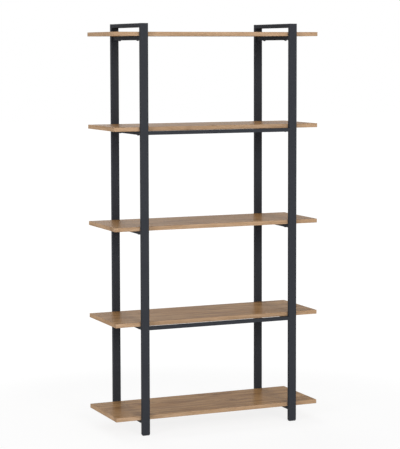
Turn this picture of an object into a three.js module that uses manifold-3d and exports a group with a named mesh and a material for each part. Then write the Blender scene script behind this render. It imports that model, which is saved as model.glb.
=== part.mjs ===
// Open bookcase: two welded ladder frames of steel tube, five overhanging boards, four stretchers between the frames.
// Millimetres, +Z up. X runs along the boards, Y from front (-Y) to back (+Y).
// The origin is on the floor, at the middle of the footprint.
import * as THREE from "three";
import { mergeVertices } from "three/addons/utils/BufferGeometryUtils.js";
import Module from "manifold-3d";

const wasm = await Module();
wasm.setup();

// Driving dimensions of the whole piece
const OVERALL_HEIGHT = 1800;
const OVERALL_DEPTH = 380;
const FRAME_CENTRE_X = 357.5; // from the middle of the bookcase to the middle of each ladder frame
const BOARD_TOPS = [1763, 1352, 918, 499, 84]; // board 1 is the highest
const STRETCHED_BOARDS = [2, 4]; // the boards with a stretcher along the front and the back

// Boards
const BOARD = { length: 980, depth: 336, thickness: 18, edgeRadius: 1 };

// Steel tube, as width x height of the section
const WALL = 1.5;
const CORNER_RADIUS = 2;
const CORNER_STEPS = 1; // an arc gets twice this many facets
const POST = { width: 35, depth: 20, capThickness: 2 };
const RAIL = { width: 35, height: 18 };
const RUNG = { width: 20, height: 18 };
const STRETCHER = { depth: 20, height: 16, plateThickness: 4 };

// End glides, pressed into the open foot of each post
const GLIDE = { inset: 1.5, height: 5, chamfer: 1.5, plugDepth: 18, plugWall: 2, fit: 0.3 };

// Fasteners: a domed head on a plain shank
const BOARD_SCREW = { shankRadius: 2.5, bite: 13, headRadius: 6, headHeight: 3.75, fromMiddle: 110 };
const FRAME_BOLT = { shankRadius: 3, bite: 12, headRadius: 6, headHeight: 3 };
const HOLE_GAP = 0.3;
const ROUND_STEPS = 10;

const BETWEEN_POSTS = OVERALL_DEPTH - 2 * POST.depth;
const POST_CENTRE_Y = (OVERALL_DEPTH - POST.depth) / 2;
const STRETCHER_LENGTH = 2 * FRAME_CENTRE_X - POST.width;

const steel = new THREE.MeshStandardMaterial({ color: 0x33363b, roughness: 0.5, metalness: 0.1 });
const oak = new THREE.MeshStandardMaterial({ color: 0xb3936e, roughness: 0.55, metalness: 0 });
const plastic = new THREE.MeshStandardMaterial({ color: 0x1b1c1e, roughness: 0.6, metalness: 0 });
const blackZinc = new THREE.MeshStandardMaterial({ color: 0x26272a, roughness: 0.4, metalness: 0.8 });

const SIDES = { left: -1, right: 1 };
const ENDS = { front: -1, rear: 1 };

const bookcase = new THREE.Group();

/** Adds one named solid to the bookcase, or to the group given. */
function addPiece(name, geometry, material, position, parent = bookcase) {
  const piece = new THREE.Mesh(geometry, material);
  piece.name = name;
  piece.position.set(...position);
  parent.add(piece);
}

/** A closed geometry as a manifold-3d solid, for cutting and joining. */
function toSolid(geometry) {
  const bare = new THREE.BufferGeometry().setAttribute("position", geometry.getAttribute("position").clone());
  if (geometry.index) bare.setIndex(geometry.index);
  const merged = mergeVertices(bare, 1e-3);
  const mesh = new wasm.Mesh({
    numProp: 3,
    vertProperties: merged.getAttribute("position").array,
    triVerts: new Uint32Array(merged.index.array),
  });
  return new wasm.Manifold(mesh);
}

/** A manifold-3d solid as a three.js geometry. */
function toGeometry(solid) {
  const mesh = solid.getMesh();
  return new THREE.BufferGeometry()
    .setAttribute("position", new THREE.BufferAttribute(mesh.vertProperties, 3))
    .setIndex(new THREE.BufferAttribute(mesh.triVerts, 1));
}

/** The geometry with each of the tools cut out of it. */
function cut(geometry, tools) {
  return toGeometry(tools.reduce((solid, tool) => solid.subtract(toSolid(tool)), toSolid(geometry)));
}

/** The geometries joined into one body. */
function join(geometries) {
  return toGeometry(geometries.map(toSolid).reduce((whole, next) => whole.add(next)));
}

/** A rectangle of the given size with round corners, centred on the origin. */
function roundedRectangle(width, height, radius, Type = THREE.Shape) {
  const x = width / 2 - radius;
  const y = height / 2 - radius;
  const quarter = Math.PI / 2;
  return new Type()
    .moveTo(width / 2, -y)
    .lineTo(width / 2, y)
    .absarc(x, y, radius, 0, quarter)
    .lineTo(-x, height / 2)
    .absarc(-x, y, radius, quarter, 2 * quarter)
    .lineTo(-width / 2, -y)
    .absarc(-x, -y, radius, 2 * quarter, 3 * quarter)
    .lineTo(x, -height / 2)
    .absarc(x, -y, radius, 3 * quarter, 4 * quarter);
}

/** A straight rectangular tube with open ends, from z = 0 to z = length. */
function tube(width, height, length) {
  const section = roundedRectangle(width, height, CORNER_RADIUS);
  section.holes.push(
    roundedRectangle(width - 2 * WALL, height - 2 * WALL, CORNER_RADIUS - WALL, THREE.Path),
  );
  return new THREE.ExtrudeGeometry(section, { depth: length, bevelEnabled: false, curveSegments: CORNER_STEPS });
}

/** A solid bar with the outline of a tube, from z = 0 to z = length. */
function bar(width, height, length, radius = CORNER_RADIUS) {
  const section = roundedRectangle(width, height, radius);
  return new THREE.ExtrudeGeometry(section, { depth: length, bevelEnabled: false, curveSegments: CORNER_STEPS });
}

/** A drill that runs up +Z from z = 0. */
function drill(radius, length) {
  return new THREE.CylinderGeometry(radius, radius, length, ROUND_STEPS)
    .rotateX(Math.PI / 2)
    .translate(0, 0, length / 2);
}

/** A screw whose head seats on z = 0 from below, with its shank up +Z. */
function domedScrew({ shankRadius, headRadius, headHeight }, shankLength) {
  const profile = [
    new THREE.Vector2(0, -headHeight),
    new THREE.Vector2(0.65 * headRadius, -0.8 * headHeight),
    new THREE.Vector2(headRadius, -0.3 * headHeight),
    new THREE.Vector2(headRadius, 0),
    new THREE.Vector2(shankRadius, 0),
    new THREE.Vector2(shankRadius, shankLength),
    new THREE.Vector2(0, shankLength),
  ];
  return new THREE.LatheGeometry(profile, ROUND_STEPS).rotateX(Math.PI / 2);
}

/** The upright of a ladder frame: capped at the top, open at the foot, drilled for its stretcher bolts. */
function postGeometry() {
  const length = OVERALL_HEIGHT - GLIDE.height;
  const shell = join([
    tube(POST.width, POST.depth, length),
    bar(POST.width, POST.depth, POST.capThickness).translate(0, 0, length - POST.capThickness),
  ]);
  const drills = STRETCHED_BOARDS.map((board) =>
    drill(FRAME_BOLT.shankRadius + HOLE_GAP, 2 * POST.width)
      .rotateY(Math.PI / 2)
      .translate(-POST.width, 0, stretcherCentreZ(board) - GLIDE.height),
  );
  return cut(shell, drills);
}

/** The cross tube under a board, drilled for the two screws that hold the board down. */
function rungGeometry() {
  const blank = tube(RUNG.width, RUNG.height, BETWEEN_POSTS)
    .rotateX(Math.PI / 2)
    .translate(0, BETWEEN_POSTS / 2, 0);
  const drills = Object.values(ENDS).map((end) =>
    drill(BOARD_SCREW.shankRadius + HOLE_GAP, 2 * RUNG.height)
      .translate(0, end * BOARD_SCREW.fromMiddle, -RUNG.height),
  );
  return cut(blank, drills);
}

/** The tube between the two frames, with a tapped plate welded into each end. */
function stretcherGeometry() {
  const plates = Object.values(SIDES).map((side) =>
    bar(STRETCHER.height, STRETCHER.depth, STRETCHER.plateThickness)
      .rotateY(Math.PI / 2)
      .translate(side * (STRETCHER_LENGTH - STRETCHER.plateThickness) / 2 - STRETCHER.plateThickness / 2, 0, 0),
  );
  const shell = join([
    tube(STRETCHER.height, STRETCHER.depth, STRETCHER_LENGTH)
      .rotateY(Math.PI / 2)
      .translate(-STRETCHER_LENGTH / 2, 0, 0),
    ...plates,
  ]);
  const throughDrill = drill(FRAME_BOLT.shankRadius + HOLE_GAP, 2 * STRETCHER_LENGTH)
    .rotateY(Math.PI / 2)
    .translate(-STRETCHER_LENGTH, 0, 0);
  return cut(shell, [throughDrill]);
}

/** A board with eased edges and four blind holes in its underside. */
function boardGeometry() {
  const { length, depth, thickness, edgeRadius } = BOARD;
  const outline = roundedRectangle(length - 2 * edgeRadius, depth - 2 * edgeRadius, edgeRadius);
  const panel = new THREE.ExtrudeGeometry(outline, {
    depth: thickness - 2 * edgeRadius,
    bevelThickness: edgeRadius,
    bevelSize: edgeRadius,
    bevelSegments: 1,
    curveSegments: CORNER_STEPS,
  }).translate(0, 0, edgeRadius - thickness);
  const holeDepth = BOARD_SCREW.bite + HOLE_GAP;
  const holes = Object.values(SIDES).flatMap((side) =>
    Object.values(ENDS).map((end) =>
      drill(BOARD_SCREW.shankRadius + HOLE_GAP, 2 * holeDepth)
        .translate(side * FRAME_CENTRE_X, end * BOARD_SCREW.fromMiddle, -thickness - holeDepth),
    ),
  );
  return cut(panel, holes);
}

/** A moulded glide: a chamfered pad under the post and a hollow plug inside it, open at the top. */
function glideGeometry() {
  const { inset, height, chamfer, plugDepth, plugWall, fit } = GLIDE;
  const padRadius = CORNER_RADIUS + inset;
  const padWidth = POST.width - 2 * inset;
  const padDepth = POST.depth - 2 * inset;
  const core = roundedRectangle(padWidth - 2 * chamfer, padDepth - 2 * chamfer, padRadius - chamfer);
  const pad = new THREE.ExtrudeGeometry(core, {
    depth: height,
    bevelThickness: chamfer,
    bevelSize: chamfer,
    bevelSegments: 1,
    curveSegments: CORNER_STEPS,
  }).translate(0, 0, chamfer);
  const aboveFoot = bar(2 * POST.width, 2 * POST.depth, height).translate(0, 0, height);
  const plugWidth = POST.width - 2 * (WALL + fit);
  const plugHeight = POST.depth - 2 * (WALL + fit);
  const bottom = height / 2;
  const plug = bar(plugWidth, plugHeight, plugDepth + bottom, 1).translate(0, 0, bottom);
  const hollow = bar(plugWidth - 2 * plugWall, plugHeight - 2 * plugWall, plugDepth * 2, 1).translate(0, 0, height);
  return cut(join([cut(pad, [aboveFoot]), plug]), [hollow]);
}

/** Height of the middle of the stretchers under a board, above the floor. */
function stretcherCentreZ(board) {
  return BOARD_TOPS[board - 1] - BOARD.thickness - STRETCHER.height / 2;
}

const shared = {
  post: postGeometry(),
  rail: tube(RAIL.width, RAIL.height, BETWEEN_POSTS).rotateX(Math.PI / 2).translate(0, BETWEEN_POSTS / 2, 0),
  rung: rungGeometry(),
  stretcher: stretcherGeometry(),
  board: boardGeometry(),
  glide: glideGeometry(),
  screw: domedScrew(BOARD_SCREW, RUNG.height + BOARD_SCREW.bite),
  bolt: domedScrew(FRAME_BOLT, POST.width + FRAME_BOLT.bite),
};

// The two ladder frames
for (const [side, signX] of Object.entries(SIDES)) {
  const frame = new THREE.Group();
  frame.position.x = signX * FRAME_CENTRE_X;
  bookcase.add(frame);
  for (const [end, signY] of Object.entries(ENDS)) {
    const y = signY * POST_CENTRE_Y;
    addPiece(`${side}_${end}_post`, shared.post, steel, [0, y, GLIDE.height], frame);
    addPiece(`${side}_${end}_glide`, shared.glide, plastic, [0, y, 0], frame);
  }
  addPiece(`${side}_top_rail`, shared.rail, steel, [0, 0, OVERALL_HEIGHT - RAIL.height / 2], frame);
  BOARD_TOPS.forEach((top, index) => {
    const underside = top - BOARD.thickness;
    const label = `${side}_${index + 1}`;
    addPiece(`rung_${label}`, shared.rung, steel, [0, 0, underside - RUNG.height / 2], frame);
    for (const [end, signY] of Object.entries(ENDS)) {
      const place = [0, signY * BOARD_SCREW.fromMiddle, underside - RUNG.height];
      addPiece(`screw_${label}_${end}`, shared.screw, blackZinc, place, frame);
    }
  });
}

// The boards
BOARD_TOPS.forEach((top, index) => addPiece(`board_${index + 1}`, shared.board, oak, [0, 0, top]));

// The stretchers, and the bolts that come through the posts into them
for (const board of STRETCHED_BOARDS) {
  const z = stretcherCentreZ(board);
  for (const [end, signY] of Object.entries(ENDS)) {
    const y = signY * POST_CENTRE_Y;
    addPiece(`stretcher_${end}_${board}`, shared.stretcher, steel, [0, y, z]);
    for (const [side, signX] of Object.entries(SIDES)) {
      const bolt = shared.bolt.clone().rotateY((-signX * Math.PI) / 2);
      const seat = signX * (FRAME_CENTRE_X + POST.width / 2);
      addPiece(`bolt_${side}_${end}_${board}`, bolt, blackZinc, [seat, y, z]);
    }
  }
}

export default bookcase;
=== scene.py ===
"""Looks of a bookcase: five oak-decor boards on two ladder-shaped frames of black steel tube."""

import logging
import math
from collections.abc import Sequence
from dataclasses import dataclass
from enum import Enum

import bmesh
import bpy
from mathutils import Matrix, Vector


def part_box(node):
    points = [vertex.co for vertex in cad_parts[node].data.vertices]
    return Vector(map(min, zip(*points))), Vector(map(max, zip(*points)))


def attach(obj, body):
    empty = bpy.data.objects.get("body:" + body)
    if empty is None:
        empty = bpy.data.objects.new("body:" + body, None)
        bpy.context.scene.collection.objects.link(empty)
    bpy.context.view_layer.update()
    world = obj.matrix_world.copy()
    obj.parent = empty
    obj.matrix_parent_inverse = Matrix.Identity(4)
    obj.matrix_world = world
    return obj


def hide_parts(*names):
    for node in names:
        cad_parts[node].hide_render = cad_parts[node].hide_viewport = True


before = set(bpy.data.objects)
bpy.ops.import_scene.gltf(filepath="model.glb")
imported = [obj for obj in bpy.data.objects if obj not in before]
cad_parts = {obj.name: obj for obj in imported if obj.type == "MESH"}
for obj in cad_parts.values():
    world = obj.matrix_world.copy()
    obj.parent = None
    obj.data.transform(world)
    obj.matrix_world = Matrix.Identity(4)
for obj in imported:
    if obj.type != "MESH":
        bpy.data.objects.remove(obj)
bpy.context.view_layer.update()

LOG = logging.getLogger("bookcase")
MM = 0.001
BODY = "root"
SIDES = ("left", "right")
ENDS = ("front", "rear")
LEVELS = range(1, 6)
BRACED_LEVELS = (2, 4)
WHITE = (1.0, 1.0, 1.0, 1.0)

Colour = tuple[float, float, float]
Waves = tuple[float, float, float]
Span = tuple[float, float]
Hole = tuple[Vector, Vector, float]
Piece = bpy.types.Object
Socket = bpy.types.NodeSocket
Settings = dict[str, object] | None
Sockets = dict[str | int, object] | None


def srgb(red: float, green: float, blue: float) -> Colour:
    """Turns a colour of 0 to 255 into the linear numbers that a shader takes."""
    parts = (part / 255 for part in (red, green, blue))
    return tuple(c / 12.92 if c <= 0.04045 else ((c + 0.055) / 1.055) ** 2.4 for c in parts)


# ---- node trees


class Value:
    """A number on a node tree. Arithmetic on it adds Math nodes."""

    def __init__(self, bench: "Bench", socket: Socket) -> None:
        """Keeps the bench and the socket that the number comes from."""
        self.bench, self.socket = bench, socket

    def _math(self, operation: str, *operands: "Value | float") -> "Value":
        """The result of one Math node, given Blender's name of its operation and its values."""
        settings = {"operation": operation}
        return self.bench.value("ShaderNodeMath", settings, dict(enumerate(operands)))

    def __add__(self, other: "Value | float") -> "Value":
        """self + other."""
        return self._math("ADD", self, other)

    def __sub__(self, other: "Value | float") -> "Value":
        """self - other."""
        return self._math("SUBTRACT", self, other)

    def __rsub__(self, other: float) -> "Value":
        """other - self."""
        return self._math("SUBTRACT", other, self)

    def __mul__(self, other: "Value | float") -> "Value":
        """self * other."""
        return self._math("MULTIPLY", self, other)

    def __truediv__(self, other: "Value | float") -> "Value":
        """self / other."""
        return self._math("DIVIDE", self, other)

    def __rtruediv__(self, other: float) -> "Value":
        """other / self."""
        return self._math("DIVIDE", other, self)

    __radd__ = __add__
    __rmul__ = __mul__

    def sine(self) -> "Value":
        """The sine of the number, in radians."""
        return self._math("SINE", self)

    def root(self) -> "Value":
        """The square root of the number."""
        return self._math("SQRT", self)

    def whole(self) -> "Value":
        """The number without its fraction."""
        return self._math("FLOOR", self)

    def greater(self, other: "Value | float") -> "Value":
        """The larger of the two numbers."""
        return self._math("MAXIMUM", self, other)

    def above(self, other: "Value | float") -> "Value":
        """1 where the number is above the other, 0 elsewhere."""
        return self._math("GREATER_THAN", self, other)

    def ramp(self, low: float, high: float) -> "Value":
        """A smooth step from 0, where the number is low, to 1, where it is high."""
        return self.bench.value(
            "ShaderNodeMapRange", {"interpolation_type": "SMOOTHSTEP"},
            {"Value": self, "From Min": low, "From Max": high},
        )


class Bench:
    """A node tree being built."""

    def __init__(self, tree: bpy.types.NodeTree) -> None:
        """Keeps the tree."""
        self.tree = tree

    def add(self, kind: str, settings: Settings = None, sockets: Sockets = None) -> bpy.types.Node:
        """Adds a node of any type.

        Args:
            kind: The node's type.
            settings: Its own settings, such as an operation, set before anything is linked.
            sockets: A value, a Value or an output for each input, by name or number.

        Returns:
            The node.
        """
        node = self.tree.nodes.new(kind)
        for name, setting in (settings or {}).items():
            setattr(node, name, setting)
        self.wire(node, sockets or {})
        return node

    def wire(self, node: bpy.types.Node, sockets: dict[str | int, object]) -> None:
        """Sets or links inputs of a node.

        Args:
            node: The node.
            sockets: A value, a Value or an output for each input, by name or number.
        """
        for key, given in sockets.items():
            for one in given if isinstance(given, list) else [given]:
                source = one.socket if isinstance(one, Value) else one
                if isinstance(source, Socket):
                    self.tree.links.new(source, node.inputs[key])
                else:
                    node.inputs[key].default_value = source

    def value(
        self, kind: str, settings: Settings = None, sockets: Sockets = None, out: str | int = 0,
    ) -> Value:
        """Adds a node, as add does, and gives the named or numbered output as a number."""
        return Value(self, self.add(kind, settings, sockets).outputs[out])

    def out(
        self, kind: str, settings: Settings = None, sockets: Sockets = None, out: str | int = 0,
    ) -> Socket:
        """Adds a node and gives one of its outputs, with the same arguments as value."""
        return self.value(kind, settings, sockets, out).socket

    def split(self, vector: Socket) -> list[Value]:
        """The three parts of a vector as numbers."""
        parts = self.add("ShaderNodeSeparateXYZ", {}, {"Vector": vector})
        return [Value(self, part) for part in parts.outputs]

    def joined(self, **parts: Value | float) -> Socket:
        """The vector of the given parts X, Y and Z; one that isn't given is 0."""
        return self.out("ShaderNodeCombineXYZ", {}, parts)


class Shader(Bench):
    """The node tree of a material or of the world."""

    def scaled(self, vector: Socket, scale: Waves) -> Socket:
        """The vector times a factor for each of its parts."""
        return self.out("ShaderNodeVectorMath", {"operation": "MULTIPLY"}, {0: vector, 1: scale})

    def noise(
        self, vector: Socket, scale: Waves | float, detail: float = 2.0,
        rough: float = 0.5,
    ) -> Value:
        """Adds a noise.

        Args:
            vector: The place it is read at, in metres.
            scale: Its waves per metre, in all directions or in each.
            detail: How many finer layers it has.
            rough: How strong these are.

        Returns:
            The noise, from 0 to 1 and mostly near a half.
        """
        place = self.scaled(vector, scale) if isinstance(scale, tuple) else vector
        size = 1.0 if isinstance(scale, tuple) else scale
        return self.value(
            "ShaderNodeTexNoise", {},
            {"Vector": place, "Scale": size, "Detail": detail, "Roughness": rough},
        )

    def blend(self, amount: Value | float, under: object, over: object) -> Socket:
        """Mixes two colours.

        Args:
            amount: 0 for the first and 1 for the second.
            under: The first colour.
            over: The second colour.

        Returns:
            The mixed colour.
        """
        first, second = (c + (1.0,) if isinstance(c, tuple) else c for c in (under, over))
        sockets = {0: amount, 6: first, 7: second}
        return self.out("ShaderNodeMix", {"data_type": "RGBA"}, sockets, 2)

    def bump(self, height: Value, distance: float, strength: float) -> Socket:
        """The normal bumped by a height of 0 to 1, where 1 stands for the distance in metres."""
        sockets = {"Height": height, "Distance": distance, "Strength": strength}
        return self.out("ShaderNodeBump", {}, sockets)


# ---- finishes


def new_shader(name: str) -> tuple[bpy.types.Material, Shader, bpy.types.Node, Socket]:
    """Starts a material.

    Args:
        name: Its name.

    Returns:
        The material, its bench, its surface shader and the place on the piece.
    """
    material = bpy.data.materials.new(name)
    material.use_nodes = True
    bench = Shader(material.node_tree)
    surface = material.node_tree.nodes["Principled BSDF"]
    return material, bench, surface, bench.out("ShaderNodeTexCoord", {}, {}, "Object")


class Grain(Enum):
    """Which way the grain runs, as the turn about Z that brings it onto X."""

    ALONG_X = 0.0
    ALONG_Y = -math.pi / 2


@dataclass(frozen=True)
class OakDecor:
    """Printed oak decor: rings about a long heart line, streaks, pores, patches and soft knots.

    A field that ends in waves is a noise's waves per metre, along the grain and in the two ways
    across it. A plural field, such as streaks, is how strongly that pattern swings the tone.
    """

    light: Colour = srgb(175, 138, 96)
    dark: Colour = srgb(134, 100, 66)
    honey: Colour = srgb(160, 119, 72)
    pore: Colour = srgb(98, 70, 47)
    knot: Colour = srgb(84, 56, 36)
    streak_waves: Waves = (1.7, 46.0, 46.0)
    fibre_waves: Waves = (9.0, 330.0, 330.0)
    patch_waves: Waves = (1.6, 6.0, 6.0)
    blotch_waves: Waves = (9.0, 28.0, 28.0)
    pore_waves: Waves = (50.0, 1100.0, 1100.0)
    sway_waves: Waves = (1.4, 5.0, 5.0)
    waver_waves: Waves = (2.2, 26.0, 26.0)
    ragged_waves: Waves = (14.0, 60.0, 60.0)
    streaks: float = 2.5
    fibres: float = 1.7
    rings: float = 0.3
    patches: float = 0.7
    blotches: float = 1.0
    knots: float = 0.5
    pores: float = 0.6
    honeys: float = 0.45
    honey_patch: Span = (0.46, 0.62)
    pore_size: Span = (0.58, 0.7)
    pores_between_rings: float = 0.35
    ring_width: float = 13 * MM
    ring_waver: float = 1.6
    heart_sway: float = 90 * MM
    heart_slope: float = 0.045
    heart_depth: float = 12 * MM
    knot_cells: Waves = (2.6, 6.0, 0.0)
    knot_raggedness: Waves = (0.07, 0.07, 0.0)
    knot_share: float = 0.5
    knot_size: Span = (0.015, 0.075)
    knot_reach: float = 0.3
    knot_bend: float = 40 * MM
    knot_shade: float = 0.25
    roughness: float = 0.33
    fibre_gloss: float = 0.18
    pore_gloss: float = 0.15
    specular: float = 0.017
    relief: float = 0.12 * MM
    relief_strength: float = 0.35

    def material(self, name: str, grain: Grain, heart: Vector) -> bpy.types.Material:
        """Builds the finish for one piece.

        Args:
            name: The material's name.
            grain: Which way the grain runs on the piece.
            heart: The point that becomes the start of the pattern.

        Returns:
            The material.
        """
        material, bench, surface, place = new_shader(name)
        moved = bench.out(
            "ShaderNodeVectorMath", {"operation": "SUBTRACT"}, {0: place, 1: tuple(heart)}
        )
        turn = (0, 0, grain.value)
        wood = bench.out("ShaderNodeMapping", {}, {"Vector": moved, "Rotation": turn})

        knot_away = self.away_from_knot(bench, wood)
        around = 1.0 - knot_away.ramp(0.0, self.knot_reach)
        flowing = bench.out(
            "ShaderNodeVectorMath", {"operation": "MULTIPLY_ADD"},
            {0: around, 1: (0.0, 0.0, self.knot_bend), 2: wood},
        )
        ring = self.ring(bench, wood)
        streak = bench.noise(flowing, self.streak_waves, 3.0, 0.6)
        fibre = bench.noise(flowing, self.fibre_waves, 2.0, 0.6)
        patch = bench.noise(wood, self.patch_waves, 1.0)
        blotch = bench.noise(wood, self.blotch_waves, 2.0)
        pore = bench.noise(wood, self.pore_waves, 1.0).ramp(*self.pore_size)
        open_grain = pore * (self.pores_between_rings + ring * (1.0 - self.pores_between_rings))
        knot = 1.0 - knot_away.ramp(*self.knot_size)

        swing = (streak - 0.5) * self.streaks + (fibre - 0.5) * self.fibres
        swing = swing + (ring - 0.5) * self.rings + (patch - 0.5) * self.patches
        swing = swing + (blotch - 0.5) * self.blotches
        depth_of_tone = 0.5 + swing + around * self.knot_shade
        tone = bench.blend(depth_of_tone.ramp(0.0, 1.0), self.light, self.dark)
        warm = bench.blend(patch.ramp(*self.honey_patch) * self.honeys, tone, self.honey)
        porous = bench.blend(open_grain * self.pores, warm, self.pore)
        height = fibre * 0.5 + streak * 0.2 - open_grain * 0.6
        rough = self.roughness + (fibre - 0.5) * self.fibre_gloss + open_grain * self.pore_gloss
        bench.wire(surface, {
            "Base Color": bench.blend(knot * self.knots, porous, self.knot),
            "Roughness": rough,
            "Specular IOR Level": self.specular,
            "Normal": bench.bump(height, self.relief, self.relief_strength),
        })
        return material

    def ring(self, bench: Shader, wood: Socket) -> Value:
        """The growth rings about the heart line, which sways and sinks along the grain.

        Args:
            bench: The material's bench.
            wood: The place, with the grain along X.

        Returns:
            Each ring as a wave from 0 to 1.
        """
        x, y, z = bench.split(wood)
        side = y + (bench.noise(wood, self.sway_waves, 2.0) - 0.5) * self.heart_sway
        depth = z + x * self.heart_slope + self.heart_depth
        radius = (side * side + depth * depth).root()
        waver = bench.noise(wood, self.waver_waves, 3.0) * self.ring_waver
        return ((radius / self.ring_width + waver) * math.tau).sine() * 0.5 + 0.5

    def away_from_knot(self, bench: Shader, wood: Socket) -> Value:
        """How far each place lies from the nearest knot; knots are drawn out along the grain.

        Args:
            bench: The material's bench.
            wood: The place, with the grain along X.

        Returns:
            The distance in widths of a cell, which holds one knot at most; 1 where it has none.
        """
        ragged = bench.out(
            "ShaderNodeTexNoise", {},
            {"Vector": bench.scaled(wood, self.ragged_waves), "Scale": 1.0}, "Color",
        )
        cells = bench.out(
            "ShaderNodeVectorMath", {"operation": "MULTIPLY_ADD"},
            {0: ragged, 1: self.knot_raggedness, 2: bench.scaled(wood, self.knot_cells)},
        )
        found = bench.add(
            "ShaderNodeTexVoronoi", {"voronoi_dimensions": "2D"}, {"Vector": cells, "Scale": 1.0}
        )
        draw = bench.value("ShaderNodeSeparateColor", {}, {"Color": found.outputs["Color"]})
        return draw.above(self.knot_share).greater(Value(bench, found.outputs["Distance"]))


EDGE_BAND = OakDecor(
    light=srgb(192, 161, 131), dark=srgb(169, 138, 108), honey=srgb(181, 148, 116),
    roughness=0.6, specular=0.01, streak_waves=(9.0, 110.0, 110.0), fibres=1.4, patches=0.2,
    blotches=0.5, knots=0.25,
)


@dataclass(frozen=True)
class CoatedMetal:
    """A dark coat with the orange peel and the small unevenness in gloss that it dries with."""

    low: Colour = srgb(50, 52, 57)
    high: Colour = srgb(59, 61, 66)
    roughness: float = 0.5
    specular: float = 0.02
    metallic: float = 0.0
    cloud: float = 9.0
    peel: float = 420.0
    relief: float = 0.05 * MM
    relief_strength: float = 0.5
    cloud_gloss: float = 0.16
    grit_gloss: float = 0.1
    speck_size: Span = (0.68, 0.78)
    specks: float = 0.12

    def material(self, name: str) -> bpy.types.Material:
        """Builds the finish.

        Args:
            name: The material's name.

        Returns:
            The material.
        """
        material, bench, surface, place = new_shader(name)
        cloud = bench.noise(place, self.cloud, 3.0)
        peel = bench.noise(place, self.peel, 1.0)
        grit = bench.noise(place, self.peel * 5, 1.0)
        speck = bench.noise(place, self.peel * 2, 0.0).ramp(*self.speck_size)
        tone = bench.blend(cloud * 0.7 + grit * 0.3, self.low, self.high)
        rough = self.roughness + (cloud - 0.5) * self.cloud_gloss + (grit - 0.5) * self.grit_gloss
        bench.wire(surface, {
            "Base Color": bench.blend(speck * self.specks, tone, self.low),
            "Roughness": rough,
            "Metallic": self.metallic,
            "Specular IOR Level": self.specular,
            "Normal": bench.bump(peel * 0.7 + grit * 0.3, self.relief, self.relief_strength),
        })
        return material


# ---- mesh workshop


def link(name: str, mesh: bpy.types.Mesh) -> Piece:
    """Puts a mesh into the scene as an object at the origin.

    Args:
        name: The object's name.
        mesh: Its mesh, with its place in it.

    Returns:
        The object.
    """
    piece = bpy.data.objects.new(name, mesh)
    bpy.context.scene.collection.objects.link(piece)
    return piece


def mesh_of(name: str, body: bmesh.types.BMesh) -> bpy.types.Mesh:
    """Writes an edited mesh to a new mesh datablock and frees it.

    Args:
        name: The new mesh's name.
        body: The edited mesh.

    Returns:
        The new mesh.
    """
    mesh = bpy.data.meshes.new(name)
    body.to_mesh(mesh)
    body.free()
    return mesh


def keep_result(piece: Piece) -> None:
    """Turns what the modifiers of a piece make into its own mesh, and removes them.

    Args:
        piece: The piece.
    """
    graph = bpy.context.evaluated_depsgraph_get()
    made = bpy.data.meshes.new_from_object(
        piece.evaluated_get(graph), preserve_all_data_layers=True, depsgraph=graph
    )
    piece.modifiers.clear()
    piece.data = made
    made.name = piece.name


def soften(piece: Piece, width: float, segments: int, angle: float = 50.0) -> None:
    """Rounds the sharp edges of a piece and leaves its flats flat.

    Args:
        piece: The piece.
        width: How far in from the edge the rounding starts.
        segments: The facets of the rounding.
        angle: Edges that turn more than this, in degrees, are rounded.
    """
    bevel = piece.modifiers.new("edges", "BEVEL")
    bevel.width, bevel.segments, bevel.limit_method = width, segments, "ANGLE"
    bevel.angle_limit = math.radians(angle)
    bevel.harden_normals = False
    even_normals(piece)


def even_normals(piece: Piece) -> None:
    """Lets the larger faces of a smooth-shaded piece set its normals, so that flats look flat."""
    for face in piece.data.polygons:
        face.use_smooth = True
    piece.modifiers.new("normals", "WEIGHTED_NORMAL").keep_sharp = True


def drill(piece: Piece, holes: Sequence[Hole]) -> None:
    """Cuts round holes into a piece.

    Args:
        piece: The piece.
        holes: For each hole its start, its end and its radius.
    """
    cutters = bmesh.new()
    for start, end, radius in holes:
        way = end - start
        turn = way.to_track_quat("Z", "Y").to_matrix().to_4x4()
        bmesh.ops.create_cone(
            cutters, cap_ends=True, segments=20, radius1=radius, radius2=radius, depth=way.length,
            matrix=Matrix.Translation((start + end) / 2) @ turn,
        )
    tool = link("cutters", mesh_of("cutters", cutters))
    cut = piece.modifiers.new("holes", "BOOLEAN")
    cut.operation, cut.solver, cut.object = "DIFFERENCE", "EXACT", tool
    keep_result(piece)
    bpy.data.objects.remove(tool)


def finish_piece(piece: Piece, nodes: Sequence[str]) -> None:
    """Ties a piece to the frame and reports it.

    Args:
        piece: The piece.
        nodes: The CAD nodes that it stands for.
    """
    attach(piece, BODY)
    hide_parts(*nodes)
    LOG.info("%s stands for %s", piece.name, ", ".join(nodes))


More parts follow.
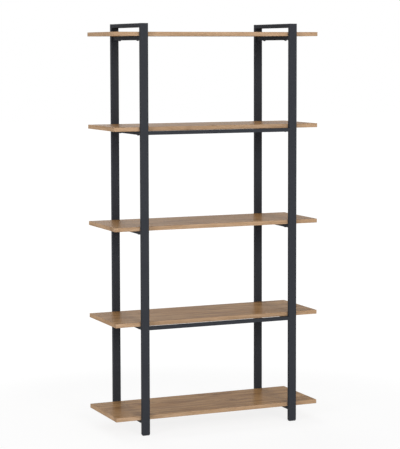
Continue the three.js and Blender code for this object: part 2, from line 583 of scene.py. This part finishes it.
class Recipe(Bench):
    """A Geometry Nodes tree with named inputs, and the way to run it."""

    KINDS = {float: "NodeSocketFloat", int: "NodeSocketInt", Vector: "NodeSocketVector"}

    def __init__(self, name: str, defaults: dict[str, float | int | Vector]) -> None:
        """Starts the tree.

        Args:
            name: The tree's name.
            defaults: Its inputs for sizes and seeds, with the values that they have by default.
        """
        super().__init__(bpy.data.node_groups.new(name, "GeometryNodeTree"))
        face = self.tree.interface
        face.new_socket("Geometry", in_out="INPUT", socket_type="NodeSocketGeometry")
        for label, default in defaults.items():
            socket = face.new_socket(label, in_out="INPUT", socket_type=self.KINDS[type(default)])
            socket.default_value = default
        face.new_socket("Material", in_out="INPUT", socket_type="NodeSocketMaterial")
        face.new_socket("Geometry", in_out="OUTPUT", socket_type="NodeSocketGeometry")
        self.given = self.tree.nodes.new("NodeGroupInput").outputs

    def size(self, label: str) -> Value:
        """One of the inputs as a number."""
        return Value(self, self.given[label])

    def finish(self, geometry: Socket) -> None:
        """Ends the tree with real geometry in the given material."""
        real = self.out("GeometryNodeRealizeInstances", {}, {"Geometry": geometry})
        dressed = self.out(
            "GeometryNodeSetMaterial", {}, {"Geometry": real, "Material": self.given["Material"]}
        )
        self.add("NodeGroupOutput", {}, {"Geometry": dressed})

    def run(
        self, name: str, seed_mesh: bpy.types.Mesh, material: bpy.types.Material,
        sizes: dict[str, float | int | Vector],
    ) -> Piece:
        """Runs the tree once and keeps what it makes as a plain mesh.

        Args:
            name: The new piece's name.
            seed_mesh: The mesh that goes in.
            material: The finish.
            sizes: Values for the named inputs.

        Returns:
            The piece.
        """
        piece = link(name, seed_mesh)
        modifier = piece.modifiers.new("recipe", "NODES")
        modifier.node_group = self.tree
        inputs = (i for i in self.tree.interface.items_tree if i.in_out == "INPUT")
        identifiers = {item.name: item.identifier for item in inputs}
        for label, size in {**sizes, "Material": material}.items():
            modifier[identifiers[label]] = tuple(size) if isinstance(size, Vector) else size
        keep_result(piece)
        piece.data.materials.clear()
        piece.data.materials.append(material)
        piece.data.polygons.foreach_set("material_index", [0] * len(piece.data.polygons))
        return piece


class TubeRecipe(Recipe):
    """A tube of rounded rectangular section, with a plate in either end where asked for."""

    def __init__(self) -> None:
        """Builds the tree: the ring between two rounded rectangles, drawn out, with its plates."""
        super().__init__("rounded tube", {
            "Section X": 35 * MM, "Section Y": 20 * MM, "Length": 1.0, "Corner Radius": 2 * MM,
            "Corner Facets": 5, "Wall": 1.5 * MM, "Start Plate": 0.0, "End Plate": 0.0,
            "Start": Vector(), "Turn": Vector(),
        })
        length, outer = self.size("Length"), self.outline(0.0)
        outlines = [outer, self.outline(self.size("Wall"))]
        both = self.out("GeometryNodeJoinGeometry", {}, {"Geometry": outlines})
        ring = self.out("GeometryNodeFillCurve", {}, {"Curve": both})
        tube = self.drawn(ring, length, 0.0)
        for label, start in (("Start Plate", 0.0), ("End Plate", length - self.size("End Plate"))):
            thickness = self.size(label)
            full = self.out("GeometryNodeFillCurve", {"mode": "NGONS"}, {"Curve": outer})
            plate = self.drawn(full, thickness.greater(0.1 * MM), start)
            settings = {"operation": "UNION", "solver": "EXACT"}
            joined = self.out("GeometryNodeMeshBoolean", settings, {"Mesh 2": [tube, plate]})
            tube = self.out(
                "GeometryNodeSwitch", {"input_type": "GEOMETRY"},
                {"Switch": thickness.above(0.0), "False": tube, "True": joined},
            )
        placed = self.out(
            "GeometryNodeTransform", {},
            {"Geometry": tube, "Translation": self.given["Start"], "Rotation": self.given["Turn"]},
        )
        self.finish(placed)

    def outline(self, inset: Value | float) -> Socket:
        """A rounded rectangle.

        Args:
            inset: How far it lies inside the section's outline.

        Returns:
            The closed curve, flat on XY and centred.
        """
        width, depth = (self.size(label) - 2.0 * inset for label in ("Section X", "Section Y"))
        plain = self.out(
            "GeometryNodeCurvePrimitiveQuadrilateral", {}, {"Width": width, "Height": depth}
        )
        radius = (self.size("Corner Radius") - inset).greater(0.4 * MM)
        return self.out(
            "GeometryNodeFilletCurve", {"mode": "POLY"},
            {"Curve": plain, "Count": self.given["Corner Facets"], "Radius": radius,
             "Limit Radius": True},
        )

    def drawn(self, face: Socket, height: Value, start: Value | float) -> Socket:
        """Draws a flat face up into a closed solid.

        Args:
            face: The face on XY.
            height: The solid's height.
            start: The height that it starts from.

        Returns:
            The solid.
        """
        top = self.out(
            "GeometryNodeExtrudeMesh", {"mode": "FACES"},
            {"Mesh": face, "Offset": self.joined(Z=height), "Offset Scale": 1.0,
             "Individual": False},
        )
        bottom = self.out("GeometryNodeFlipFaces", {}, {"Mesh": face})
        both = self.out("GeometryNodeJoinGeometry", {}, {"Geometry": [top, bottom]})
        closed = self.out(
            "GeometryNodeMergeByDistance", {}, {"Geometry": both, "Distance": 0.001 * MM}
        )
        sockets = {"Geometry": closed, "Translation": self.joined(Z=start)}
        return self.out("GeometryNodeTransform", {}, sockets)


class FastenerRecipe(Recipe):
    """A domed head with a hexagon recess on a threaded shank, set on every point that goes in."""

    def __init__(self) -> None:
        """Builds the tree. Each point's attribute "aim" is the way its head faces."""
        super().__init__("domed fastener", {
            "Head Radius": 6 * MM, "Head Height": 3.5 * MM, "Rim": 0.8 * MM, "Recess Width": 4 * MM,
            "Recess Depth": 2.2 * MM, "Shank Radius": 2.5 * MM, "Shank Length": 30 * MM,
            "Thread Pitch": 2 * MM, "Thread Depth": 0.4 * MM, "Seed": 3,
        })
        parts = [self.cut_head(), self.shank()]
        body = self.out("GeometryNodeJoinGeometry", {}, {"Geometry": parts})
        aim = self.out(
            "GeometryNodeInputNamedAttribute", {"data_type": "FLOAT_VECTOR"}, {"Name": "aim"}
        )
        facing = self.out("FunctionNodeAlignRotationToVector", {"axis": "Z"}, {"Vector": aim})
        spin = self.out(
            "FunctionNodeRandomValue", {"data_type": "FLOAT"},
            {2: 0.0, 3: math.tau, "Seed": self.given["Seed"]}, 1,
        )
        own_turn = self.out(
            "FunctionNodeAxisAngleToRotation", {}, {"Axis": (0.0, 0.0, 1.0), "Angle": spin}
        )
        turned = self.out(
            "FunctionNodeRotateRotation", {"rotation_space": "LOCAL"},
            {"Rotation": facing, "Rotate By": own_turn},
        )
        self.finish(self.out(
            "GeometryNodeInstanceOnPoints", {},
            {"Points": self.given["Geometry"], "Instance": body, "Rotation": turned},
        ))

    def cut_head(self) -> Socket:
        """The head: the upper half of a ball pressed flat, on its rim, with the recess cut in."""
        ball = self.out(
            "GeometryNodeMeshUVSphere", {}, {"Segments": 24, "Rings": 12, "Radius": 1.0}
        )
        x, y, z = self.split(self.out("GeometryNodeInputPosition"))
        rim, radius = self.size("Rim"), self.size("Head Radius")
        rise = z.above(0.01) * (rim + z * (self.size("Head Height") - rim))
        spread = self.joined(X=x * radius, Y=y * radius, Z=rise)
        head = self.out("GeometryNodeSetPosition", {}, {"Geometry": ball, "Position": spread})
        depth = self.size("Recess Depth")
        corner = self.size("Recess Width") / math.sqrt(3)
        sockets = {"Vertices": 6, "Radius": corner, "Depth": depth * 2.0}
        hexagon = self.out("GeometryNodeMeshCylinder", {}, sockets)
        lift = self.joined(Z=self.size("Head Height"))
        tool = self.out("GeometryNodeTransform", {}, {"Geometry": hexagon, "Translation": lift})
        cut = self.out(
            "GeometryNodeMeshBoolean", {"operation": "DIFFERENCE", "solver": "EXACT"},
            {"Mesh 1": head, "Mesh 2": tool},
        )
        angle = self.value("GeometryNodeInputMeshEdgeAngle")
        smooth = self.out("GeometryNodeSetShadeSmooth", {}, {"Geometry": cut, "Shade Smooth": True})
        return self.out(
            "GeometryNodeSetShadeSmooth", {"domain": "EDGE"},
            {"Geometry": smooth, "Selection": angle.above(math.radians(35)), "Shade Smooth": False},
        )

    def shank(self) -> Socket:
        """The shank, below the head, with a thread that winds round it."""
        length, pitch = self.size("Shank Length"), self.size("Thread Pitch")
        bar = self.out(
            "GeometryNodeMeshCylinder", {},
            {"Vertices": 12, "Side Segments": (length / pitch * 4.0).whole(),
             "Radius": self.size("Shank Radius"), "Depth": length},
        )
        x, y, z = self.split(self.out("GeometryNodeInputPosition"))
        round_it = self.value("ShaderNodeMath", {"operation": "ARCTAN2"}, {0: y, 1: x})
        cut = (z / pitch * math.tau + round_it).sine() * 0.5 - 0.5
        shrink = 1.0 + cut * self.size("Thread Depth") / self.size("Shank Radius")
        wound = self.joined(X=x * shrink, Y=y * shrink, Z=z - length / 2.0)
        return self.out("GeometryNodeSetPosition", {}, {"Geometry": bar, "Position": wound})


class WeldRecipe(Recipe):
    """A weld bead along every line that goes in, rippled as it was laid."""

    def __init__(self) -> None:
        """Builds the tree."""
        super().__init__("weld bead", {
            "Bead Radius": 1.0 * MM, "Ripple Pitch": 1.6 * MM, "Ripple": 0.18,
            "Unevenness": 0.35, "Seed": 7,
        })
        line = self.out("GeometryNodeMeshToCurve", {}, {"Mesh": self.given["Geometry"]})
        pitch = self.size("Ripple Pitch")
        fine = self.out(
            "GeometryNodeResampleCurve", {"mode": "LENGTH"}, {"Curve": line, "Length": pitch / 3.0}
        )
        along = self.value("GeometryNodeSplineParameter", {}, {}, "Length")
        place = self.out("GeometryNodeInputPosition")
        lumps = self.value(
            "ShaderNodeTexNoise", {"noise_dimensions": "4D"},
            {"Vector": place, "W": self.size("Seed") * 1.0, "Scale": 160.0, "Detail": 1.0},
        )
        ripple = (along / pitch * math.tau).sine() * self.size("Ripple")
        swell = 1.0 + ripple + (lumps - 0.5) * self.size("Unevenness")
        ring = self.out(
            "GeometryNodeCurvePrimitiveCircle", {},
            {"Resolution": 8, "Radius": self.size("Bead Radius")},
        )
        bead = self.out(
            "GeometryNodeCurveToMesh", {},
            {"Curve": fine, "Profile Curve": ring, "Scale": swell, "Fill Caps": True},
        )
        sockets = {"Geometry": bead, "Shade Smooth": True}
        self.finish(self.out("GeometryNodeSetShadeSmooth", {}, sockets))


# ---- sub-assemblies


class Way(Enum):
    """Which way a tube runs, as the turn that brings its local Z there."""

    UP = (0.0, 0.0, 0.0)
    REARWARD = (-math.pi / 2, 0.0, 0.0)
    RIGHTWARD = (math.pi / 2, 0.0, math.pi / 2)


@dataclass
class LadderFrames:
    """The two side frames of uprights, top rails and rungs, and the stretchers between them."""

    wall: float = 1.5 * MM
    corner_radius: float = 2.2 * MM
    corner_facets: int = 5
    cap: float = 2 * MM
    end_plate: float = 4 * MM
    screw_clearance: float = 2.8 * MM
    bolt_clearance: float = 3.3 * MM
    bolt_tapping: float = 2.5 * MM
    drill_reach: float = 40 * MM
    bead_radius: float = 0.9 * MM
    bead_bite: float = 0.4
    rail_inset: float = 2 * MM
    edge: float = 0.35 * MM

    def build(self) -> None:
        """Builds every tube and the welds."""
        self.recipe = TubeRecipe()
        self.paint = CoatedMetal().material("powder_coat")
        for side in SIDES:
            for end in ENDS:
                bolts = [f"bolt_{side}_{end}_{level}" for level in BRACED_LEVELS]
                holes = self.bores(bolts, Way.RIGHTWARD, self.drill_reach, self.bolt_clearance)
                self.tube(f"{side}_{end}_post", Way.UP, (0.0, self.cap), holes)
            self.tube(f"{side}_top_rail", Way.REARWARD, (0.0, 0.0), [])
            for level in LEVELS:
                screws = [f"screw_{side}_{level}_{end}" for end in ENDS]
                holes = self.bores(screws, Way.UP, self.drill_reach, self.screw_clearance)
                self.tube(f"rung_{side}_{level}", Way.REARWARD, (0.0, 0.0), holes)
        plates = (self.end_plate, self.end_plate)
        for end in ENDS:
            for level in BRACED_LEVELS:
                bolts = [f"bolt_{side}_{end}_{level}" for side in SIDES]
                holes = self.bores(bolts, Way.RIGHTWARD, 0.0, self.bolt_tapping)
                self.tube(f"stretcher_{end}_{level}", Way.RIGHTWARD, plates, holes)
        self.welds()

    @staticmethod
    def bores(fasteners: list[str], way: Way, reach: float, radius: float) -> list[Hole]:
        """The holes that fasteners pass through.

        Args:
            fasteners: The fasteners' CAD nodes.
            way: Which way they run.
            reach: How far a hole goes to each side of the middle, or 0 for the fastener's length.
            radius: The holes' radius.

        Returns:
            Each hole's start, end and radius.
        """
        axis = Vector((0, 0, 1)) if way is Way.UP else Vector((1, 0, 0))
        holes = []
        for fastener in fasteners:
            low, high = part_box(fastener)
            middle = (low + high) / 2
            half = axis * (reach or (high - low).dot(axis) / 2)
            holes.append((middle - half, middle + half, radius))
        return holes

    def tube(self, node: str, way: Way, plates: Span, holes: list[Hole]) -> None:
        """Builds one tube in the place of its CAD node.

        Args:
            node: The CAD node.
            way: Which way the tube runs.
            plates: The thickness of the plate in its start and its end.
            holes: The holes drilled into it.
        """
        low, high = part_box(node)
        size, middle = high - low, (low + high) / 2
        across, upward, length, start = {
            Way.UP: (size.x, size.y, size.z, Vector((middle.x, middle.y, low.z))),
            Way.REARWARD: (size.x, size.z, size.y, Vector((middle.x, low.y, middle.z))),
            Way.RIGHTWARD: (size.y, size.z, size.x, Vector((low.x, middle.y, middle.z))),
        }[way]
        piece = self.recipe.run(f"{node}_tube", bpy.data.meshes.new(node), self.paint, {
            "Section X": across, "Section Y": upward, "Length": length,
            "Corner Radius": self.corner_radius, "Corner Facets": self.corner_facets,
            "Wall": self.wall, "Start Plate": plates[0], "End Plate": plates[1], "Start": start,
            "Turn": Vector(way.value),
        })
        if holes:
            drill(piece, holes)
        soften(piece, self.edge, 2)
        finish_piece(piece, [node])

    def welds(self) -> None:
        """Lays a bead round each end of each rung and under each end of the top rails."""
        lines = bmesh.new()
        bite = self.bead_radius * self.bead_bite
        inset = self.corner_radius * 0.4
        for side in SIDES:
            for level in LEVELS:
                low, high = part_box(f"rung_{side}_{level}")
                for y in (low.y + bite, high.y - bite):
                    corners = [
                        (low.x, low.z + inset), (low.x + inset, low.z), (high.x - inset, low.z),
                        (high.x, low.z + inset), (high.x, high.z - inset), (low.x, high.z - inset),
                    ]
                    points = [lines.verts.new((x, y, z)) for x, z in corners]
                    for first, second in zip(points[:4], points[1:5]):
                        lines.edges.new((first, second))
                    lines.edges.new((points[5], points[0]))
            low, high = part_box(f"{side}_top_rail")
            for y in (low.y + bite, high.y - bite):
                xs = (low.x + self.rail_inset, high.x - self.rail_inset)
                lines.edges.new([lines.verts.new((x, y, low.z)) for x in xs])
        mesh, sizes = mesh_of("weld_lines", lines), {"Bead Radius": self.bead_radius}
        piece = WeldRecipe().run("weld_beads", mesh, self.paint, sizes)
        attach(piece, BODY)
        LOG.info("%s runs round the ends of the rungs and rails", piece.name)


@dataclass
class Boards:
    """The five boards, each a panel with a band glued onto each of its four edges."""

    band: float = 2 * MM
    band_round: float = 1.5 * MM
    seam: float = 0.25 * MM
    pilot_radius: float = 2.3 * MM
    edges: tuple[tuple[str, int, int], ...] = (
        ("front", 1, -1), ("rear", 1, 1), ("left", 0, -1), ("right", 0, 1),
    )

    def build(self) -> None:
        """Builds every board."""
        for level in LEVELS:
            self.board(level)

    def board(self, level: int) -> None:
        """Builds one board.

        Args:
            level: Its number, counted from the top.
        """
        node = f"board_{level}"
        low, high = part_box(node)
        inset = Vector((self.band, self.band, 0))
        heart = Vector((
            0.35 - 0.23 * (level * 2 % 5), 0.06 * (level % 3) - 0.07, low.z - 0.03 * level,
        ))
        panel = self.block(f"{node}_panel", low + inset, high - inset)
        holes = []
        for screw in (f"screw_{side}_{level}_{end}" for side in SIDES for end in ENDS):
            foot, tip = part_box(screw)
            x, y, _ = (foot + tip) / 2
            start, end = Vector((x, y, low.z - MM)), Vector((x, y, tip.z))
            holes.append((start, end, self.pilot_radius))
        drill(panel, holes)
        soften(panel, self.seam, 1)
        self.dress(panel, OakDecor(), Grain.ALONG_X, heart, node)
        for label, axis, sign in self.edges:
            near, far = low.copy(), high.copy()
            outer = (low if sign < 0 else high)[axis]
            (far if sign < 0 else near)[axis] = outer - sign * self.band
            if axis == 0:
                near.y, far.y = low.y + self.band, high.y - self.band
                grain, shift = Grain.ALONG_Y, Vector((0.03, 0.2 * sign, 0.01))
            else:
                grain, shift = Grain.ALONG_X, Vector((0.4 * sign, 0.05 * sign, 0.02))
            piece = self.strip(f"{node}_band_{label}", near, far, axis, outer)
            self.dress(piece, EDGE_BAND, grain, heart + shift, node)

    @staticmethod
    def block(name: str, low: Vector, high: Vector) -> Piece:
        """Makes a plain block.

        Args:
            name: The piece's name.
            low: Its lowest corner.
            high: Its highest corner.

        Returns:
            The piece.
        """
        body = bmesh.new()
        place = Matrix.Translation((low + high) / 2) @ Matrix.Diagonal((*(high - low), 1))
        bmesh.ops.create_cube(body, size=1.0, matrix=place)
        return link(name, mesh_of(name, body))

    def strip(self, name: str, low: Vector, high: Vector, axis: int, outer: float) -> Piece:
        """Makes an edge band, rounded where it faces outwards.

        Args:
            name: The piece's name.
            low: Its lowest corner.
            high: Its highest corner.
            axis: The axis that it faces along, 0 for X and 1 for Y.
            outer: Where its outer face lies on that axis.

        Returns:
            The piece.
        """
        piece = self.block(name, low, high)
        body = bmesh.new()
        body.from_mesh(piece.data)
        edges = [e for e in body.edges if all(abs(v.co[axis] - outer) < 0.1 * MM for v in e.verts)]
        if axis == 0:
            edges = [e for e in edges if abs(e.verts[0].co.y - e.verts[1].co.y) > self.band]
        bmesh.ops.bevel(
            body, geom=edges, offset=self.band_round, segments=5, profile=0.5, affect="EDGES",
        )
        body.to_mesh(piece.data)
        body.free()
        even_normals(piece)
        return piece

    @staticmethod
    def dress(piece: Piece, finish: OakDecor, grain: Grain, heart: Vector, node: str) -> None:
        """Gives a piece its decor and ties it to its board.

        Args:
            piece: The piece.
            finish: Its finish.
            grain: Which way the grain runs.
            heart: Where the pattern starts.
            node: The board's CAD node.
        """
        piece.data.materials.clear()
        piece.data.materials.append(finish.material(f"oak_{piece.name}", grain, heart))
        finish_piece(piece, [node])


@dataclass
class Glides:
    """The plastic pads under the uprights, each with a ribbed plug that grips inside the tube."""

    pad_height: float = 5 * MM
    chamfer: float = 1.5 * MM
    top_round: float = 0.4 * MM
    corner_radius: float = 2 * MM
    shoulder: float = 2.2 * MM
    rib: float = 0.25 * MM
    ribs: int = 3
    rib_profile: tuple[Span, ...] = ((0.25, 0), (0.3, 1), (0.45, 1), (0.9, 0))
    facets: int = 5

    def build(self) -> None:
        """Builds the four glides."""
        plastic = CoatedMetal(
            low=srgb(24, 24, 26), high=srgb(33, 33, 36), roughness=0.6, specular=0.35, peel=900.0,
            relief=0.03 * MM,
        ).material("moulded_plastic")
        for side in SIDES:
            for end in ENDS:
                self.glide(f"{side}_{end}_glide", plastic)

    def glide(self, node: str, plastic: bpy.types.Material) -> None:
        """Builds one glide in the place of its CAD node.

        Args:
            node: The CAD node.
            plastic: The finish.
        """
        low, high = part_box(node)
        top = low.z + self.pad_height
        levels = [
            (low.z, self.chamfer), (low.z + self.chamfer * 0.4, self.chamfer * 0.35),
            (low.z + self.chamfer, 0.0), (top - self.top_round, 0.0), (top, self.top_round),
            (top, self.shoulder),
        ]
        pitch = (high.z - top) / self.ribs
        for rib in range(self.ribs):
            base = top + rib * pitch
            levels += [
                (base + pitch * share, self.shoulder - self.rib * out)
                for share, out in self.rib_profile
            ]
        levels.append((high.z, self.shoulder + self.rib))
        body = bmesh.new()
        rings = [
            [body.verts.new(point) for point in self.ring(low, high, inset, z)]
            for z, inset in levels
        ]
        for lower, upper in zip(rings, rings[1:]):
            for i in range(len(lower)):
                j = (i + 1) % len(lower)
                body.faces.new((lower[i], lower[j], upper[j], upper[i]))
        body.faces.new(reversed(rings[0]))
        body.faces.new(rings[-1])
        bmesh.ops.recalc_face_normals(body, faces=body.faces)
        for edge in body.edges:
            edge.smooth = edge.calc_face_angle(0.0) < math.radians(35)
        piece = link(f"{node}_pad", mesh_of(node, body))
        piece.data.materials.append(plastic)
        even_normals(piece)
        finish_piece(piece, [node])

    def ring(
        self, low: Vector, high: Vector, inset: float, z: float,
    ) -> list[tuple[float, float, float]]:
        """The points of a rounded rectangle.

        Args:
            low: The pad's lowest corner.
            high: The pad's highest corner.
            inset: How far inside the pad's outline it lies.
            z: Its height.

        Returns:
            The points, counter-clockwise from above.
        """
        radius = max(self.corner_radius - inset, 0.5 * MM)
        corners = ((high.x, high.y), (low.x, high.y), (low.x, low.y), (high.x, low.y))
        points = []
        for quarter, (x, y) in enumerate(corners):
            across = 1 if x == high.x else -1
            along = 1 if y == high.y else -1
            cx, cy = x - across * (inset + radius), y - along * (inset + radius)
            for step in range(self.facets + 1):
                angle = math.pi / 2 * (quarter + step / self.facets)
                points.append((cx + radius * math.cos(angle), cy + radius * math.sin(angle), z))
        return points


@dataclass
class Fasteners:
    """The screws that hold the boards down, and the bolts that hold the stretchers."""

    rim: float = 0.9 * MM
    recess: float = 4 * MM
    recess_depth: float = 2 * MM
    screw_head: float = 3.75 * MM
    screw_shank: float = 2.5 * MM
    bolt_head: float = 3 * MM
    bolt_shank: float = 3 * MM

    def build(self) -> None:
        """Builds both sets."""
        self.recipe = FastenerRecipe()
        self.steel = CoatedMetal(
            low=srgb(38, 38, 40), high=srgb(52, 52, 54), roughness=0.36, specular=0.5, metallic=0.7,
            peel=1200.0, relief=0.02 * MM,
        ).material("blackened_steel")
        screws = [
            f"screw_{side}_{level}_{end}" for side in SIDES for level in LEVELS for end in ENDS
        ]
        bolts = [
            f"bolt_{side}_{end}_{level}"
            for side in SIDES for end in ENDS for level in BRACED_LEVELS
        ]
        self.set_of("board_screws", screws, self.screw_head, self.screw_shank)
        self.set_of("frame_bolts", bolts, self.bolt_head, self.bolt_shank)

    def set_of(self, name: str, nodes: list[str], head_height: float, shank_radius: float) -> None:
        """Builds one set of equal fasteners as one piece.

        Args:
            name: The piece's name.
            nodes: Their CAD nodes.
            head_height: How far a head stands out.
            shank_radius: The radius of a shank.
        """
        seats, aims, length, radius = [], [], 0.0, 0.0
        for node in nodes:
            low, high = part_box(node)
            size, middle = high - low, (low + high) / 2
            axis = max(range(3), key=lambda i: size[i])
            sign = -1 if axis == 2 or middle.x < 0 else 1
            seat = middle.copy()
            seat[axis] = (high if sign > 0 else low)[axis] - sign * head_height
            aim = Vector((0, 0, 0))
            aim[axis] = sign
            seats.append(seat)
            aims.append(aim)
            length, radius = size[axis] - head_height, min(size) / 2
        mesh = bpy.data.meshes.new(name)
        mesh.from_pydata(seats, [], [])
        facing = mesh.attributes.new("aim", "FLOAT_VECTOR", "POINT")
        facing.data.foreach_set("vector", [part for aim in aims for part in aim])
        piece = self.recipe.run(name, mesh, self.steel, {
            "Head Radius": radius, "Head Height": head_height, "Rim": self.rim,
            "Recess Width": self.recess, "Recess Depth": self.recess_depth,
            "Shank Radius": shank_radius, "Shank Length": length,
        })
        finish_piece(piece, nodes)


# ---- studio


@dataclass(frozen=True)
class Lamp:
    """A soft box."""

    name: str
    place: Vector
    aim: Vector
    width: float
    height: float
    level: float

    def build(self) -> None:
        """Puts the lamp up. Its power makes a white card at the aim as bright as its level says."""
        data = bpy.data.lights.new(self.name, "AREA")
        data.shape, data.size, data.size_y = "RECTANGLE", self.width, self.height
        way = self.aim - self.place
        data.energy = self.level * math.pi ** 2 * way.length_squared
        lamp = bpy.data.objects.new(self.name, data)
        turn = way.to_track_quat("-Z", "Y").to_matrix().to_4x4()
        lamp.matrix_world = Matrix.Translation(self.place) @ turn
        bpy.context.scene.collection.objects.link(lamp)


@dataclass
class Studio:
    """A pale floor, a white background, soft lamps and the camera."""

    ambient: float = 0.42
    floor_half: float = 30.0
    floor_colour: Colour = (0.86, 0.86, 0.86)
    floor_clear: float = 0.8
    floor_glow: float = 1.055
    shadow_reach: Span = (0.9, 2.0)
    camera_place: Vector = Vector((-2.9878, -6.8588, 1.685))
    camera_yaw: float = 23.4195
    camera_pitch: float = -4.7007
    camera_roll: float = -0.1435
    lens: float = 133.21
    shift_up: float = -0.085
    sensor: float = 36.0

    def build(self) -> None:
        """Builds the floor, the background, the lamps and the camera."""
        self.floor()
        self.background()
        middle = Vector((0, 0, 0.9))
        for lamp in (
            Lamp("front_key", Vector((1.0, -12.5, 4.9)), middle, 5.0, 5.0, 0.42),
            Lamp("left_side", Vector((-9.5, -5.5, 3.2)), middle, 4.0, 4.0, 0.36),
            Lamp("rear_fill", Vector((0.8, 9.5, 6.4)), middle, 4.5, 4.5, 0.30),
        ):
            lamp.build()
        self.camera()
        bpy.context.scene.view_settings.view_transform = "Standard"

    @staticmethod
    def seen(bench: Shader) -> Value:
        """1 for rays from the camera and for mirrored and transmitted ones, 0 for the rest."""
        path = bench.add("ShaderNodeLightPath").outputs
        rays = ("Is Camera Ray", "Is Glossy Ray", "Is Transmission Ray")
        camera, glossy, through = (Value(bench, path[ray]) for ray in rays)
        return camera.greater(glossy).greater(through)

    def floor(self) -> None:
        """Lays the floor: a pale surface that shows nearly white and keeps the shadow."""
        half = self.floor_half
        corners = [(-half, -half, 0), (half, -half, 0), (half, half, 0), (-half, half, 0)]
        mesh = bpy.data.meshes.new("floor")
        mesh.from_pydata(corners, [], [(0, 1, 2, 3)])
        floor = link("floor", mesh)
        material, bench, matt, place = new_shader("floor_white")
        bench.wire(matt, {
            "Base Color": self.floor_colour + (1.0,), "Roughness": 0.9, "Specular IOR Level": 0.0,
        })
        glow = bench.out("ShaderNodeEmission", {}, {"Color": WHITE, "Strength": self.floor_glow})
        away = bench.value("ShaderNodeVectorMath", {"operation": "LENGTH"}, {0: place}, "Value")
        clear = self.floor_clear + (1.0 - self.floor_clear) * away.ramp(*self.shadow_reach)
        mixed = bench.out(
            "ShaderNodeMixShader", {}, {0: self.seen(bench) * clear, 1: matt.outputs[0], 2: glow}
        )
        bench.wire(material.node_tree.nodes["Material Output"], {"Surface": mixed})
        mesh.materials.append(material)

    def background(self) -> None:
        """Makes the world a soft even light that shows as plain white."""
        world = bpy.data.worlds.new("studio")
        bpy.context.scene.world = world
        world.use_nodes = True
        bench = Shader(world.node_tree)
        light = world.node_tree.nodes["Background"]
        bench.wire(light, {"Color": WHITE, "Strength": self.ambient})
        white = bench.out("ShaderNodeBackground", {}, {"Color": WHITE, "Strength": 1.0})
        sockets = {0: self.seen(bench), 1: light.outputs[0], 2: white}
        mixed = bench.out("ShaderNodeMixShader", {}, sockets)
        bench.wire(world.node_tree.nodes["World Output"], {"Surface": mixed})

    def camera(self) -> None:
        """Sets the camera up at the front left, a little below the bookcase's top."""
        data = bpy.data.cameras.new("camera")
        data.lens, data.sensor_width, data.shift_y = self.lens, self.sensor, self.shift_up
        data.clip_end = 200.0
        camera = bpy.data.objects.new("camera", data)
        turn = Matrix.Rotation(-math.radians(self.camera_yaw), 4, "Z")
        tilt = Matrix.Rotation(math.radians(90 + self.camera_pitch), 4, "X")
        roll = Matrix.Rotation(math.radians(self.camera_roll), 4, "Z")
        camera.matrix_world = Matrix.Translation(self.camera_place) @ turn @ tilt @ roll
        bpy.context.scene.collection.objects.link(camera)
        bpy.context.scene.camera = camera


def main() -> None:
    """Builds the bookcase and its studio."""
    logging.basicConfig(level=logging.INFO, format="%(name)s: %(message)s")
    for part in (LadderFrames(), Boards(), Glides(), Fasteners(), Studio()):
        part.build()
    bpy.context.view_layer.update()


if __name__ == "__main__":
    main()
